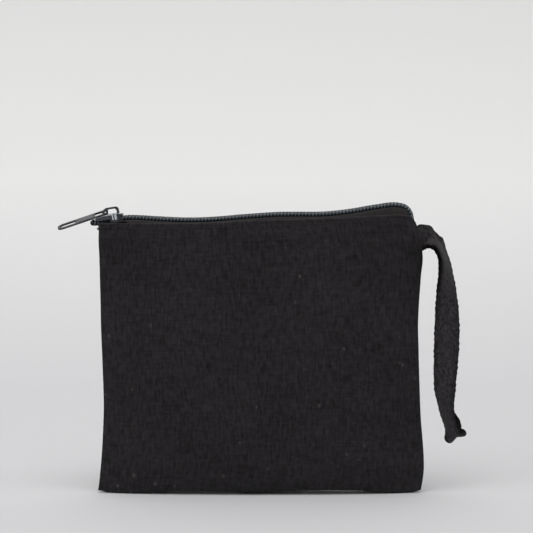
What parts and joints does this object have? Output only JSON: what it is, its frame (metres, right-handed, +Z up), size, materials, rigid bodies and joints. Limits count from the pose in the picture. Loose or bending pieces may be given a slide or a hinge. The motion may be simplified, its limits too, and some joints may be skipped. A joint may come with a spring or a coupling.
{
  "type": "zippered canvas pouch",
  "caption": "Small flat pouch of plain canvas, with a coil zip along its top, a slotted pull tab and a doubled woven wrist strap sewn into one side seam.",
  "frame": {"origin": "middle of the bounding box's footprint, on the surface that the pouch stands on", "axes": "+X to the strap side, along the mouth; +Y to the back, through the pouch's thickness; +Z up, from the base to the zip"},
  "size_m": [0.176, 0.0196, 0.1269],
  "materials": {
    "canvas": "matt black plain-weave cotton canvas",
    "zip_tape": "matt black woven zip tape",
    "zip_coil": "satin black nylon monofilament",
    "thread": "black spun polyester thread",
    "slider_metal": "dark gunmetal paint, semi-gloss",
    "spring_steel": "bare bright steel",
    "strap_tape": "matt black herringbone cotton tape"
  },
  "bodies": {
    "back_half": {"back_panel": "canvas", "zipper_tape_back": "zip_tape", "zipper_coil_back": "zip_coil", "coil_cord_back": "thread", "topstitch_back": "thread", "seam_thread_left": "thread", "seam_thread_right": "thread", "seam_thread_bottom": "thread", "overlock_left": "thread", "overlock_right": "thread"},
    "front_half": {"front_panel": "canvas", "zipper_tape_front": "zip_tape", "zipper_coil_front": "zip_coil", "coil_cord_front": "thread", "topstitch_front": "thread", "overlock_bottom": "thread"},
    "slider": {"slider_body": "slider_metal", "slider_crown": "slider_metal", "lock_spring": "spring_steel"},
    "pull_tab": {"pull_tab": "slider_metal"},
    "wrist_strap": {"wrist_strap": "strap_tape"}
  },
  "joints": [
    {"name": "zip_slide", "type": "slide", "parent": "back_half", "child": "slider", "axis": [0.9986, 0, 0.052], "range_m": [0, 0.117], "deforming": ["zipper_tape_back", "zipper_coil_back", "coil_cord_back", "zipper_tape_front", "zipper_coil_front", "coil_cord_front"]},
    {"name": "mouth_open", "type": "hinge", "parent": "back_half", "child": "front_half", "pos_m": [0, -0.0064, 0.0004], "axis": [1, 0, 0], "range_deg": [0, 9.4]},
    {"name": "pull_swing", "type": "hinge", "parent": "slider", "child": "pull_tab", "pos_m": [-0.06632, 0, 0.12311], "axis": [0, 1, 0], "range_deg": [0, 184]},
    {"name": "strap_swing", "type": "hinge", "parent": "back_half", "child": "wrist_strap", "pos_m": [0.06949, 0, 0.11061], "axis": [0, -1, 0], "range_deg": [0, 110]}
  ],
  "couplings": [
    {"joint": "mouth_open", "follows": "zip_slide", "rad_per_m": 1.4}
  ]
}
